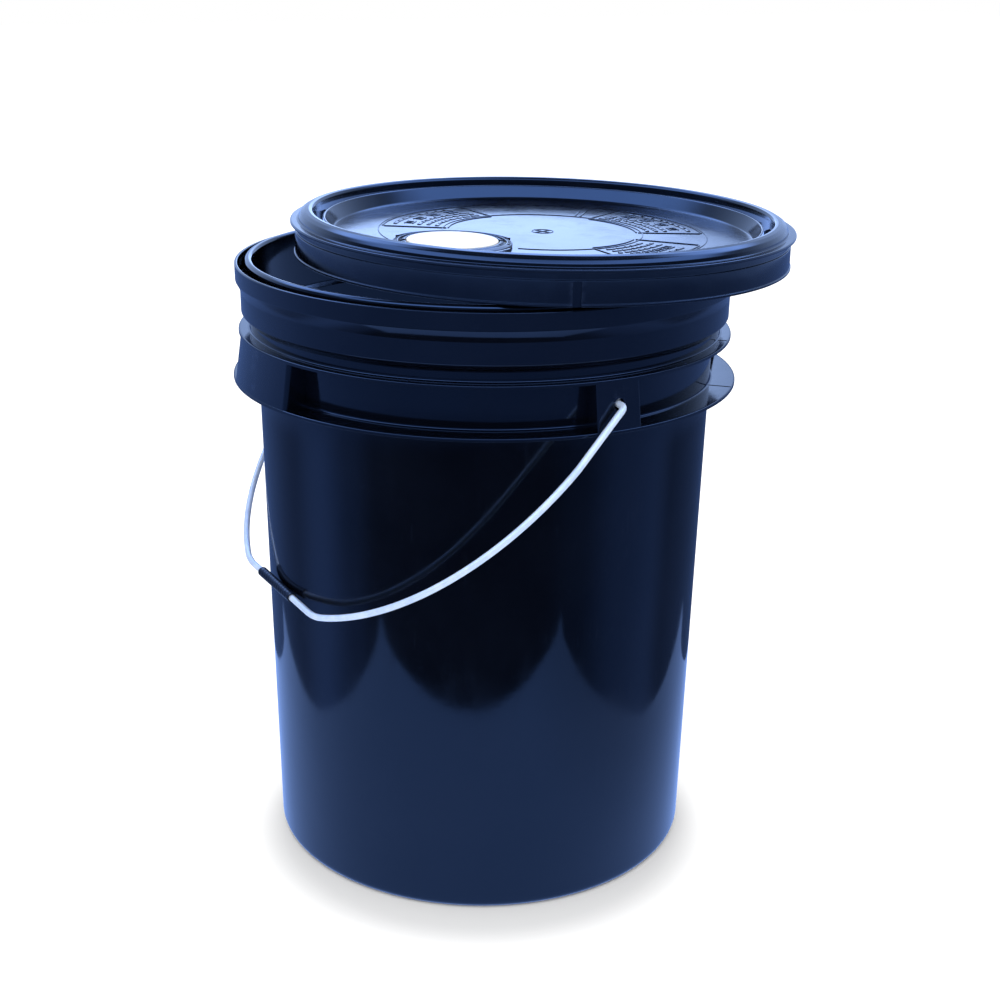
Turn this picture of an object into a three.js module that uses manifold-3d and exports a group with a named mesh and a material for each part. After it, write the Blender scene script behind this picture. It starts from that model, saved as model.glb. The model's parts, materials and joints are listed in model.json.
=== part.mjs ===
// A 5 US gallon (20 litre) plastic pail with a wire bail and a pour-spout lid.
// The lid is off its seat: it lies on the rim, pushed sideways and a little tilted.
//
// Millimetres, +Z up. The origin is the centre of the pail's underside, on the ground.
// The bail swings about the Y axis, and hangs against the pail's -X side.

import * as THREE from 'three';
import { mergeVertices } from 'three/addons/utils/BufferGeometryUtils.js';
import Module from 'manifold-3d';

const wasm = await Module();
wasm.setup();

// ---------------------------------------------------------------- driving dimensions

const SEGMENTS = 60; // facets round the pail and the lid
const SMALL_SEGMENTS = 40; // facets round the spout's pieces
const CLEARANCE = 0.3; // gap between pieces that touch

// Pail
const PAIL_BASE_RADIUS = 131; // outer wall, carried down to the ground
const PAIL_WALL_SLOPE = 0.019; // the outer wall widens this much for each mm of height
const PAIL_WALL = 2.3;
const PAIL_FLOOR = 6; // height of the inside of the floor
const FOOT_RECESS = 3; // the underside is recessed this far inside the foot ring
const FOOT_INNER_RADIUS = 118;
const CENTRE_PAD_RADIUS = 22; // flat pad round the moulding gate, level with the foot ring
const CORNER_RADIUS = 5;
const LOWER_FLANGE_RADIUS = 151.8;
const LOWER_FLANGE_Z = 298.8;
const UPPER_FLANGE_RADIUS = 147.9;
const UPPER_FLANGE_Z = 326.3;
const FLANGE_THICKNESS = 2;
const GUARD_RADIUS = 149; // the upper band of the outer wall of the double rim
const GUARD_LOWER_RADIUS = 146; // the same wall below the band
const GUARD_WALL = 1.8;
const GUARD_BOTTOM_Z = 337.5;
const GUARD_TOP_Z = 366.5;
const GUARD_BAND_Z = 357; // bottom of the band, where the wall curves in
const NECK_RADIUS = 141; // outside of the neck between the upper flange and the guard wall
const NECK_TOP_Z = 333.4;
const CHANNEL_FLOOR_Z = 340; // between the guard wall and the bead
const BEAD_RADIUS = 143;
const BEAD_CREST_Z = 369;
const BEAD_INNER_RADIUS = 138.4;
const LEDGE_Z = 329.5; // small ledge inside, where the wall steps out behind the neck

// Plain panels that close the space between the flanges
const WIDE_PANEL_HALF_ANGLE = 14.6; // degrees, centred on the X axis
const EAR_HALF_ANGLE = 5.3; // degrees, centred on the Y axis
const PANEL_WALL = 2.2;

// Bail
const EAR_HOLE_RADIUS = 3.3;
const EAR_HOLE_Z = 313.5;
const WIRE_RADIUS = 1.9;
const BAIL_HALF_WIDTH = 158.4; // wire centre to the middle plane, where the curve starts
const BAIL_TOP_HALF_WIDTH = 155; // the same at the bend into the ear
const BAIL_DROP = 192.3; // hinge axis to the middle of the grip
const BAIL_KINK_HALF_WIDTH = 50; // where the curved sides meet the straight hand stretch
const BAIL_HANG_ANGLE = 44.2; // degrees below level, with the grip against the pail
const HOOK_HALF_WIDTH = 143.6; // the bent-up end of the wire inside the ear
const HOOK_LENGTH = 7;
const GRIP_RADIUS = 3;
const GRIP_BORE_RADIUS = 2.2;
const GRIP_LENGTH = 47;
const GRIP_OFFSET = 5; // the loose grip has slid this far along the wire

// Lid, in its own frame: z = 0 is the top of its rim
const LID_SHIFT = 33.7; // how far the lid is pushed off the pail's axis
const LID_SHIFT_AZIMUTH = -28.9; // degrees from +X, the direction it is pushed
const LID_TILT = 0.77; // degrees, lower on the side it is pushed to
const LID_TOP_Z = 395.3; // top of the lid's rim at the lid's centre
const DECK_Z = -12.6;
const DECK_THICKNESS = 2.2;
const DECK_RADIUS = 124.5;
const SKIRT_BOTTOM_Z = -25.9;
const SKIRT_RADIUS = 146.5;
const LID_FLANGE_RADIUS = 149.1;

// Spout, in the lid's frame
const SPOUT_X = -52.6;
const SPOUT_Y = -52;
const SPOUT_HOLE_RADIUS = 29;
const SPOUT_GUARD_RADIUS = 37; // low curved walls round the spout
const SPOUT_GUARD_WALL = 1.6;
const SPOUT_GUARD_HEIGHT = 2;
const FINGER_GAP_HALF_ANGLE = 27; // degrees, either side of the X axis
const CAP_RADIUS = 26.1;
const CAP_TOP_Z = -9.4;
const PULL_OUTER_RADIUS = 30.2;
const PULL_INNER_RADIUS = 26.5;
const PULL_END_GAP = 2.2; // from the parting diameter to each end of a pull ring
const PULL_AZIMUTH = 5; // degrees, the parting diameter of the two pull rings
const RETAINER_RADIUS = 34;

// ---------------------------------------------------------------- materials

function plastic(color, roughness) {
  return new THREE.MeshStandardMaterial({ color, roughness, metalness: 0 });
}

const blackPlastic = () => plastic(0x0a1024, 0.22);
const blackRubber = () => plastic(0x15171c, 0.8);
const gripPlastic = () => plastic(0x07080c, 0.5);
const whitePlastic = () => plastic(0xf4f3ec, 0.35);
const paleFlexiblePlastic = () => plastic(0xd9dde2, 0.45);
const zincWire = () => new THREE.MeshStandardMaterial({ color: 0xc9d4e4, roughness: 0.3, metalness: 0.9 });

// ---------------------------------------------------------------- small helpers

const radians = THREE.MathUtils.degToRad;

function wallRadius(z) {
  return PAIL_BASE_RADIUS + PAIL_WALL_SLOPE * z;
}

// Points of an arc in a profile, from one angle to another in degrees.
function arc(r, z, radius, from, to, steps) {
  return Array.from({ length: steps + 1 }, (_, i) => {
    const angle = radians(from + ((to - from) * i) / steps);
    return [r + radius * Math.cos(angle), z + radius * Math.sin(angle)];
  });
}

// A profile of [r, z] points turned round the Z axis. It starts and ends on the axis, or it is
// closed here.
function turned(profile, segments) {
  const onAxis = profile[0][0] === 0 && profile.at(-1)[0] === 0;
  const outline = onAxis ? profile : [...profile, profile[0]];
  const points = outline.map(([r, z]) => new THREE.Vector2(r, z));
  return new THREE.LatheGeometry(points, segments).rotateX(Math.PI / 2);
}

// A prism over the sector between two azimuths (degrees from +X), wide enough to hold the pail.
function wedge(from, to, zLow, zHigh) {
  const reach = 400;
  const shape = new THREE.Shape();
  shape.moveTo(0, 0);
  shape.lineTo(reach * Math.cos(radians(from)), reach * Math.sin(radians(from)));
  shape.lineTo(reach * Math.cos(radians(to)), reach * Math.sin(radians(to)));
  shape.closePath();
  const geometry = new THREE.ExtrudeGeometry(shape, { depth: zHigh - zLow, bevelEnabled: false });
  return geometry.translate(0, 0, zLow);
}

function box(x0, x1, y0, y1, z0, z1) {
  const geometry = new THREE.BoxGeometry(x1 - x0, y1 - y0, z1 - z0);
  return geometry.translate((x0 + x1) / 2, (y0 + y1) / 2, (z0 + z1) / 2);
}

// A closed geometry as a solid that can be joined and cut.
function solid(geometry) {
  const bare = geometry.clone();
  bare.deleteAttribute('normal');
  bare.deleteAttribute('uv');
  const merged = mergeVertices(bare, 1e-4);
  const corners = Array.from(merged.index.array);
  const triangles = [];
  for (let i = 0; i < corners.length; i += 3) {
    const [a, b, c] = corners.slice(i, i + 3);
    if (a !== b && b !== c && c !== a) triangles.push(a, b, c);
  }
  const vertProperties = new Float32Array(merged.attributes.position.array);
  return new wasm.Manifold(new wasm.Mesh({ numProp: 3, vertProperties, triVerts: Uint32Array.from(triangles) }));
}

function geometryOf(shape) {
  const { vertProperties, triVerts } = shape.getMesh();
  const geometry = new THREE.BufferGeometry();
  geometry.setAttribute('position', new THREE.BufferAttribute(vertProperties, 3));
  geometry.setIndex(new THREE.BufferAttribute(triVerts, 1));
  return geometry;
}

function piece(name, geometry, material) {
  const mesh = new THREE.Mesh(geometry, material);
  mesh.name = name;
  return mesh;
}

// A path through given stations, which a tube follows exactly, one ring of facets at each.
class Stations extends THREE.Curve {
  constructor(points) {
    super();
    this.points = points;
  }

  getPoint(t) {
    const last = this.points.length - 1;
    const place = t * last;
    const i = Math.min(Math.floor(place), last - 1);
    return this.points[i].clone().lerp(this.points[i + 1], place - i);
  }

  getUtoTmapping(u) {
    return u;
  }
}

function tube(stations, radius, sides) {
  const section = new THREE.Shape().absarc(0, 0, radius, 0, 2 * Math.PI);
  return new THREE.ExtrudeGeometry(section, {
    extrudePath: new Stations(stations),
    steps: stations.length - 1,
    curveSegments: sides / 2,
  });
}

// ---------------------------------------------------------------- pail

function flangeProfile(radius, z, rootAbove = wallRadius(z)) {
  const low = z - FLANGE_THICKNESS / 2;
  const high = z + FLANGE_THICKNESS / 2;
  const edge = 0.5; // rounding of the outer edge
  return [
    [wallRadius(low), low],
    [radius - edge, low],
    [radius, low + edge],
    [radius, high - edge],
    [radius - edge, high],
    [rootAbove, high],
  ];
}

// The double rim: the guard wall, the channel behind it and the bead that the lid snaps over.
function rimProfile() {
  const guardInner = GUARD_RADIUS - GUARD_WALL;
  const lowerInner = GUARD_LOWER_RADIUS - GUARD_WALL;
  const crest = (BEAD_RADIUS + BEAD_INNER_RADIUS) / 2;
  const crestRadius = (BEAD_RADIUS - BEAD_INNER_RADIUS) / 2;
  const lowerZoneTop = GUARD_BAND_Z - 7;
  return [
    [NECK_RADIUS, NECK_TOP_Z],
    [GUARD_LOWER_RADIUS - 0.6, GUARD_BOTTOM_Z],
    [GUARD_LOWER_RADIUS, GUARD_BOTTOM_Z + 0.6],
    [GUARD_LOWER_RADIUS + 0.1, lowerZoneTop],
    [GUARD_LOWER_RADIUS + 0.9, lowerZoneTop + 3],
    [GUARD_RADIUS - 0.3, GUARD_BAND_Z - 0.6],
    [GUARD_RADIUS, GUARD_BAND_Z + 0.4],
    [GUARD_RADIUS, GUARD_TOP_Z - 0.6],
    [GUARD_RADIUS - 0.6, GUARD_TOP_Z],
    [guardInner + 0.4, GUARD_TOP_Z],
    [guardInner, GUARD_TOP_Z - 0.4],
    [guardInner, GUARD_BAND_Z - 1],
    [lowerInner + 0.6, lowerZoneTop + 1.5],
    [lowerInner, CHANNEL_FLOOR_Z],
    [NECK_RADIUS, CHANNEL_FLOOR_Z],
    [NECK_RADIUS, 361],
    [BEAD_RADIUS, 363.2],
    ...arc(crest, BEAD_CREST_Z - crestRadius, crestRadius, 0, 180, 6),
    [BEAD_INNER_RADIUS - 0.2, LEDGE_Z + 3.6],
    [wallRadius(LEDGE_Z) - PAIL_WALL, LEDGE_Z],
  ];
}

function pailProfile() {
  const cornerCentre = wallRadius(CORNER_RADIUS) - CORNER_RADIUS;
  const insideCorner = 6;
  const insideRadius = wallRadius(PAIL_FLOOR + insideCorner) - PAIL_WALL;
  return [
    [0, 0],
    [CENTRE_PAD_RADIUS, 0],
    [CENTRE_PAD_RADIUS + 1, FOOT_RECESS],
    [FOOT_INNER_RADIUS, FOOT_RECESS],
    [FOOT_INNER_RADIUS + 1, 0],
    ...arc(cornerCentre, CORNER_RADIUS, CORNER_RADIUS, -90, 0, 3),
    ...flangeProfile(LOWER_FLANGE_RADIUS, LOWER_FLANGE_Z),
    ...flangeProfile(UPPER_FLANGE_RADIUS, UPPER_FLANGE_Z, NECK_RADIUS),
    ...rimProfile(),
    ...arc(insideRadius - insideCorner, PAIL_FLOOR + insideCorner, insideCorner, 0, -90, 3),
    [0, PAIL_FLOOR],
  ];
}

const panelTop = UPPER_FLANGE_Z;
const panelBottom = LOWER_FLANGE_Z - FLANGE_THICKNESS / 2;
const panelInset = 0.1; // keeps a panel's face just inside the flanges' edges

// The flush outer skin between the flanges, all round; a panel is a sector of it.
function panelRing() {
  return solid(turned([
    [LOWER_FLANGE_RADIUS - PANEL_WALL, panelBottom],
    [LOWER_FLANGE_RADIUS - panelInset, panelBottom],
    [UPPER_FLANGE_RADIUS - panelInset, panelTop],
    [UPPER_FLANGE_RADIUS - PANEL_WALL, panelTop],
  ], SEGMENTS));
}

// Everything between the wall and that skin; a panel's end walls are thin sectors of it.
function endWallRing() {
  return solid(turned([
    [wallRadius(panelBottom) - 1, panelBottom],
    [LOWER_FLANGE_RADIUS - 1, panelBottom],
    [UPPER_FLANGE_RADIUS - 1, panelTop],
    [wallRadius(panelTop) - 1, panelTop],
  ], SEGMENTS));
}

// The slot that opens a panel's pocket downward, through the lower flange.
function pocketRing() {
  return solid(turned([
    [wallRadius(panelBottom) + 1.5, panelBottom - 2],
    [LOWER_FLANGE_RADIUS - PANEL_WALL - 0.5, panelBottom - 2],
    [LOWER_FLANGE_RADIUS - PANEL_WALL - 0.5, panelBottom + 4],
    [wallRadius(panelBottom) + 1.5, panelBottom + 4],
  ], SEGMENTS));
}

function sector(ring, centre, halfAngle) {
  return ring.intersect(solid(wedge(centre - halfAngle, centre + halfAngle, 280, 380)));
}

// A plain panel with its end walls, open at the bottom.
function withPanel(pail, centre, halfAngle) {
  const endAngle = THREE.MathUtils.radToDeg(PANEL_WALL / LOWER_FLANGE_RADIUS);
  const ends = endWallRing();
  return pail
    .add(sector(panelRing(), centre, halfAngle))
    .add(sector(ends, centre - halfAngle + endAngle / 2, endAngle / 2))
    .add(sector(ends, centre + halfAngle - endAngle / 2, endAngle / 2))
    .subtract(sector(pocketRing(), centre, halfAngle - endAngle));
}

function pail() {
  let body = solid(turned(pailProfile(), SEGMENTS));
  for (const side of [0, 180]) {
    body = withPanel(body, side, WIDE_PANEL_HALF_ANGLE);
  }
  for (const ear of [90, 270]) {
    body = withPanel(body, ear, EAR_HALF_ANGLE);
    const hole = new THREE.CylinderGeometry(EAR_HOLE_RADIUS, EAR_HOLE_RADIUS, 20, 24);
    hole.translate(0, Math.sin(radians(ear)) * (UPPER_FLANGE_RADIUS + 3), EAR_HOLE_Z);
    body = body.subtract(solid(hole));
  }
  return piece('pail', geometryOf(body), blackPlastic());
}

// ---------------------------------------------------------------- bail

// The wire's path in the bail's own plane: across is along the hinge axis, out is away from it.
function bailRoute() {
  const bend = 3.6;
  const arcRise = Math.sqrt(BAIL_HALF_WIDTH ** 2 - BAIL_KINK_HALF_WIDTH ** 2);
  const arcCentre = BAIL_DROP - arcRise;
  const half = [[HOOK_HALF_WIDTH, -HOOK_LENGTH]];
  half.push(...arc(HOOK_HALF_WIDTH + bend, -bend, bend, 180, 90, 4));
  half.push(...arc(BAIL_TOP_HALF_WIDTH - bend, bend, bend, -90, 0, 4));
  const endAngle = THREE.MathUtils.radToDeg(Math.asin(arcRise / BAIL_HALF_WIDTH));
  half.push(...arc(0, arcCentre, BAIL_HALF_WIDTH, 0, endAngle - 1.5, 14));
  half.push([BAIL_KINK_HALF_WIDTH - 4, BAIL_DROP]);
  const mirrored = half.toReversed().map(([across, out]) => [-across, out]);
  return [...half, ...mirrored];
}

// From the bail's own plane to the pail's frame, with the bail hanging.
function inBailPlane(across, out) {
  const angle = radians(BAIL_HANG_ANGLE);
  return new THREE.Vector3(-out * Math.cos(angle), across, EAR_HOLE_Z - out * Math.sin(angle));
}

function bailWire() {
  const stations = bailRoute().map(([across, out]) => inBailPlane(across, out));
  return piece('bail_wire', tube(stations, WIRE_RADIUS, 10), zincWire());
}

function bailGrip() {
  const half = GRIP_LENGTH / 2;
  const round = 0.4;
  const geometry = turned([
    [GRIP_BORE_RADIUS, -half],
    [GRIP_RADIUS - round, -half],
    [GRIP_RADIUS, -half + round],
    [GRIP_RADIUS, half - round],
    [GRIP_RADIUS - round, half],
    [GRIP_BORE_RADIUS, half],
  ], 24);
  const grip = piece('bail_grip', geometry, gripPlastic());
  grip.rotation.x = Math.PI / 2;
  grip.position.copy(inBailPlane(GRIP_OFFSET, BAIL_DROP));
  return grip;
}

// ---------------------------------------------------------------- lid

function lidProfile() {
  const underside = DECK_Z - DECK_THICKNESS;
  return [
    [0, underside],
    [DECK_RADIUS - 1.5, underside],
    // underside of the channel, then the plug wall that goes inside the pail
    [128.6, -19],
    [135.2, -19],
    [135.4, -24.6],
    [136.2, -25.2],
    [137.2, -24.6],
    [137.6, -3.4],
    // groove for the gasket
    [138.4, -2.4],
    [140.5, -2.4],
    [142.2, -3.9],
    [143.4, -6.5],
    [144, -9.2],
    // skirt
    [144.4, SKIRT_BOTTOM_Z + 0.6],
    [145, SKIRT_BOTTOM_Z],
    [SKIRT_RADIUS - 0.4, SKIRT_BOTTOM_Z],
    [SKIRT_RADIUS, SKIRT_BOTTOM_Z + 0.5],
    [SKIRT_RADIUS - 0.2, -12.7],
    [SKIRT_RADIUS - 0.9, -12.1],
    [SKIRT_RADIUS - 0.9, -7.9],
    // flange
    [LID_FLANGE_RADIUS - 0.4, -7.7],
    [LID_FLANGE_RADIUS, -7.3],
    [LID_FLANGE_RADIUS, -6.6],
    [LID_FLANGE_RADIUS - 0.4, -6.2],
    // shoulder and crest of the rim
    [144.4, -6],
    [144.2, -4],
    [142.9, -1.9],
    [140.5, -0.5],
    [137.6, 0],
    [136.2, 0],
    [135.6, -0.6],
    // channel, inner ring and sloping side of the deck
    [135.2, -17],
    [130.3, -17],
    [129.9, -4.6],
    [128.7, -4.6],
    [DECK_RADIUS, DECK_Z],
    [0, DECK_Z],
  ];
}

function spoutRing(inner, outer, low, high) {
  const geometry = turned([[inner, low], [outer, low], [outer, high], [inner, high]], SMALL_SEGMENTS);
  return solid(geometry.translate(SPOUT_X, SPOUT_Y, 0));
}

function lid() {
  const deckTop = DECK_Z + SPOUT_GUARD_HEIGHT;
  let guard = spoutRing(SPOUT_GUARD_RADIUS - SPOUT_GUARD_WALL, SPOUT_GUARD_RADIUS, DECK_Z - 0.5, deckTop);
  for (const centre of [0, 180]) {
    const gap = wedge(centre - FINGER_GAP_HALF_ANGLE, centre + FINGER_GAP_HALF_ANGLE, DECK_Z, 0);
    guard = guard.subtract(solid(gap.translate(SPOUT_X, SPOUT_Y, 0)));
  }
  const hole = new THREE.CylinderGeometry(SPOUT_HOLE_RADIUS, SPOUT_HOLE_RADIUS, 10, SMALL_SEGMENTS);
  hole.rotateX(Math.PI / 2).translate(SPOUT_X, SPOUT_Y, DECK_Z);
  const body = solid(turned(lidProfile(), SEGMENTS)).add(guard).subtract(solid(hole));
  return piece('lid', geometryOf(body), blackPlastic());
}

function lidGasket() {
  const geometry = turned([
    [138.0, -4.9],
    [141.3, -4.9],
    [141.5, -4.3],
    [140.4, -2.9],
    [138.3, -2.9],
    [138.0, -3.4],
  ], SEGMENTS);
  return piece('lid_gasket', geometry, blackRubber());
}

// ---------------------------------------------------------------- spout

const flangeLow = DECK_Z + CLEARANCE;
const flangeHigh = flangeLow + 0.9;

// One flexible moulding: the flange on the deck, the wall folded down below it and the neck.
function spoutBody() {
  const geometry = turned([
    [21.3, -24],
    [21.3, -12.1],
    [23, -12.1],
    [23, -24],
    [23.6, -26.6],
    [25.3, -27.8],
    [27, -26.6],
    [27.4, -24],
    [27.4, flangeHigh],
    [32, flangeHigh],
    [32, flangeLow],
    [28.6, flangeLow],
    [28.6, -24],
    [27.8, -27.6],
    [25.3, -29],
    [22.4, -27.6],
  ].toReversed(), SMALL_SEGMENTS);
  return piece('spout_body', geometry, paleFlexiblePlastic());
}

// The ring that holds the spout's flange down on the deck.
function spoutRetainer() {
  const lip = flangeHigh + CLEARANCE;
  const top = lip + 1.2;
  const geometry = turned([
    [30.6, lip],
    [32.4, lip],
    [32.4, flangeLow],
    [RETAINER_RADIUS, flangeLow],
    [RETAINER_RADIUS, top - 0.4],
    [RETAINER_RADIUS - 0.4, top],
    [30.6, top],
  ], SMALL_SEGMENTS);
  return piece('spout_retainer', geometry, blackPlastic());
}

function spoutCap() {
  const skirtOuter = 25.4;
  const skirtInner = 23.4;
  const plateLow = CAP_TOP_Z - 1.8;
  const geometry = turned([
    [0, plateLow],
    [skirtInner, plateLow],
    [skirtInner, -21.6],
    [skirtOuter, -21.6],
    [skirtOuter, plateLow],
    [CAP_RADIUS, plateLow],
    [CAP_RADIUS, CAP_TOP_Z - 0.5],
    [CAP_RADIUS - 0.5, CAP_TOP_Z],
    [0, CAP_TOP_Z],
  ], SMALL_SEGMENTS);
  return piece('spout_cap', geometry, whitePlastic());
}

// A half ring that lies flat round the cap and swings up to pull the spout out.
function pullRing(name, side) {
  const low = flangeHigh + CLEARANCE;
  const high = CAP_TOP_Z - CLEARANCE;
  const ring = solid(turned([
    [PULL_INNER_RADIUS, low],
    [PULL_OUTER_RADIUS, low],
    [PULL_OUTER_RADIUS, high],
    [PULL_INNER_RADIUS, high],
  ], SMALL_SEGMENTS));
  const reach = PULL_OUTER_RADIUS + 5;
  const kept = side > 0
    ? box(-reach, reach, PULL_END_GAP, reach, low - 1, high + 1)
    : box(-reach, reach, -reach, -PULL_END_GAP, low - 1, high + 1);
  return piece(name, geometryOf(ring.intersect(solid(kept))), blackPlastic());
}

function spoutGroup() {
  const group = new THREE.Group();
  group.add(spoutBody(), spoutRetainer(), spoutCap(), pullRing('pull_ring_rear', 1), pullRing('pull_ring_front', -1));
  group.position.set(SPOUT_X, SPOUT_Y, 0);
  group.rotation.z = radians(PULL_AZIMUTH);
  return group;
}

// ---------------------------------------------------------------- assembly

function lidGroup() {
  const group = new THREE.Group();
  group.add(lid(), lidGasket(), spoutGroup());
  const azimuth = radians(LID_SHIFT_AZIMUTH);
  group.position.set(LID_SHIFT * Math.cos(azimuth), LID_SHIFT * Math.sin(azimuth), LID_TOP_Z);
  group.rotation.order = 'ZYX';
  group.rotation.z = azimuth;
  group.rotation.y = radians(LID_TILT);
  return group;
}

const fermentingPail = new THREE.Group();
fermentingPail.add(pail(), bailWire(), bailGrip(), lidGroup());

export default fermentingPail;
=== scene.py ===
"""The looks of a black plastic fermenting pail with a wire bail and a pour-spout lid."""

import json
import math
import random
from math import radians

import bpy
import bmesh
from mathutils import Matrix, Vector


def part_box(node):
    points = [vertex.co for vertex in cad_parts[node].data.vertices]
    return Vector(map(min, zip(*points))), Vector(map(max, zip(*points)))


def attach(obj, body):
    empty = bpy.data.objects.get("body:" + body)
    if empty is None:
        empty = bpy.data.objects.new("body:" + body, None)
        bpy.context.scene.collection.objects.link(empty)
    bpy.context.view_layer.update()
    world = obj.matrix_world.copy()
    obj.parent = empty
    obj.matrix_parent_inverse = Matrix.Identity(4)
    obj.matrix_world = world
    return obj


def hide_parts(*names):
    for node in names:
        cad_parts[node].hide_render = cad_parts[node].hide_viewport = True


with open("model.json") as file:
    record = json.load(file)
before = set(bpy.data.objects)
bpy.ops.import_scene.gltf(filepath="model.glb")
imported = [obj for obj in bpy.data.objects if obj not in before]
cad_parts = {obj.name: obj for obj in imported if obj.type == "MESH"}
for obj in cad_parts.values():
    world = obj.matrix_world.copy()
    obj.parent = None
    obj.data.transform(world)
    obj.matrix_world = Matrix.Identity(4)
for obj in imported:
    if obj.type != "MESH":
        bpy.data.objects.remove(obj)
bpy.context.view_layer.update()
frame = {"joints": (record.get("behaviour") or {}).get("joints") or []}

MM = 0.001
PAIL_TURNS = 240  # facets round the pail and the lid
SPOUT_TURNS = 128  # facets round the spout's pieces
CORNER_STEPS = 4
SHARP_TURN = 14  # degrees; a gentler turn in a profile isn't rounded
random.seed(20)

JOINTS = {j["name"]: j for j in frame["joints"]}
HINGE_Z = JOINTS["bail_swing"]["pos_m"][2] / MM

# The pail, in millimetres, as in the CAD
BASE_RADIUS = 131.0
WALL_SLOPE = 0.019  # how fast the outer radius grows with height
WALL = 2.3
FLOOR_Z = 6.0
LOWER_FLANGE = (151.8, 298.8)  # radius and height
UPPER_FLANGE = (147.9, 326.3)
GUARD_RADIUS = 149.0
GUARD_LOWER = 146.0
GUARD_WALL = 1.8
GUARD_BOTTOM = 337.5
GUARD_TOP = 366.5
GUARD_BAND = 357.0  # above this height the guard stands out to its full radius
NECK_RADIUS = 141.0
NECK_TOP = 333.4
CHANNEL_FLOOR = 340.0  # between the guard and the inner wall
BEAD = (140.7, 366.7)  # centre of the rounded top edge, radius and height
BEAD_RADIUS = 2.3
LEDGE_Z = 329.5  # a ledge inside, below the rim
PANEL_WALL = 2.2
WIDE_HALF = 14.6  # degrees, half of a wide panel
EAR_HALF = 5.3  # and half of a bail ear
SEAM_AZIMUTHS = (-135, -45, 45, 135)
EAR_FACE = 149.6  # the ear's outer face, at the height of the hole for the wire

# The lid's own frame: x to the right of the spout, z = 0 at the top of the rim
SPOUT = (-52.6, -52.0)
PULL_AZIMUTH = 5.0  # degrees that the pull rings are turned from x
DECK_Z = -12.6
CAP_PIVOT_Z = -10.0  # height of the cap's joint


def lid_frame():
    """Where the lid lies, from the cap's joint and the pull rings' joint."""
    pivot = JOINTS["cap_unscrew"]
    up = Vector(pivot["axis"]).normalized()
    pull = Vector(JOINTS["pull_ring_rear_lift"]["axis"])
    across = (Matrix.Rotation(radians(-PULL_AZIMUTH), 3, up) @ pull).normalized()
    away = up.cross(across)
    offset = across * SPOUT[0] + away * SPOUT[1] + up * CAP_PIVOT_Z
    place = Matrix((across, away, up)).transposed().to_4x4()
    place.translation = Vector(pivot["pos_m"]) - offset * MM
    return place


LID = lid_frame()
SPOUT_PLACE = LID @ Matrix.Translation((SPOUT[0] * MM, SPOUT[1] * MM, 0))
SPOUT_PLACE = SPOUT_PLACE @ Matrix.Rotation(radians(PULL_AZIMUTH), 4, "Z")


# ---------------------------------------------------------------- mesh tools

def wall_radius(z):
    return BASE_RADIUS + WALL_SLOPE * z


def evenly(start, end, steps):
    return [start + (end - start) * i / steps for i in range(steps + 1)]


def arc(r, z, radius, start, end, steps):
    """Points on an arc in a profile, angles in degrees."""
    turns = [radians(a) for a in evenly(start, end, steps)]
    return [(r + radius * math.cos(a), z + radius * math.sin(a)) for a in turns]


def rounded(points, fillet=0.5, closed=True):
    """Rounds a profile's corners. A point may carry a radius of its own. A short straight run is
    kept each side of a rounding, so that the flat parts stay flat in the shading."""
    made = []
    count = len(points)
    for i, point in enumerate(points):
        here = Vector(point[:2])
        if not closed and i in (0, count - 1):
            made.append(tuple(here))
            continue
        back = Vector(points[i - 1][:2]) - here
        on = Vector(points[(i + 1) % count][:2]) - here
        turn = math.pi - back.angle(on)
        if turn < radians(SHARP_TURN):
            made.append(tuple(here))
            continue
        radius = point[2] if len(point) > 2 else fillet
        reach = min(radius * math.tan(turn / 2), 0.4 * back.length, 0.4 * on.length)
        start, end = here + back.normalized() * reach, here + on.normalized() * reach
        support_back = min(0.4, 0.15 * back.length)
        support_on = min(0.4, 0.15 * on.length)
        made.append(tuple(start + back.normalized() * support_back))
        for k in range(CORNER_STEPS + 1):
            t = k / CORNER_STEPS
            made.append(tuple(start * (1 - t) ** 2 + here * 2 * t * (1 - t) + end * t * t))
        made.append(tuple(end + on.normalized() * support_on))
    return made


def new_object(name, verts, faces):
    mesh = bpy.data.meshes.new(name)
    mesh.from_pydata([(x * MM, y * MM, z * MM) for x, y, z in verts], [], faces)
    cleaned = bmesh.new()
    cleaned.from_mesh(mesh)
    bmesh.ops.remove_doubles(cleaned, verts=cleaned.verts, dist=1e-7)
    bmesh.ops.recalc_face_normals(cleaned, faces=cleaned.faces)
    cleaned.to_mesh(mesh)
    cleaned.free()
    made = bpy.data.objects.new(name, mesh)
    bpy.context.scene.collection.objects.link(made)
    return made


def lathe(name, profile, turns):
    """A profile turned right round: closed, or from the axis to the axis."""
    verts, rings = [], []
    for r, z in profile:
        if r < 1e-6:
            rings.append([len(verts)] * turns)
            verts.append((0, 0, z))
            continue
        rings.append(list(range(len(verts), len(verts) + turns)))
        for k in range(turns):
            a = 2 * math.pi * k / turns
            verts.append((r * math.cos(a), r * math.sin(a), z))
    on_axis = profile[0][0] < 1e-6 and profile[-1][0] < 1e-6
    pairs = list(zip(rings, rings[1:])) + ([] if on_axis else [(rings[-1], rings[0])])
    faces = []
    for low, high in pairs:
        for k in range(turns):
            n = (k + 1) % turns
            corners = [low[k], low[n], high[n], high[k]]
            faces.append(list(dict.fromkeys(corners)))
    return new_object(name, verts, faces)


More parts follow.
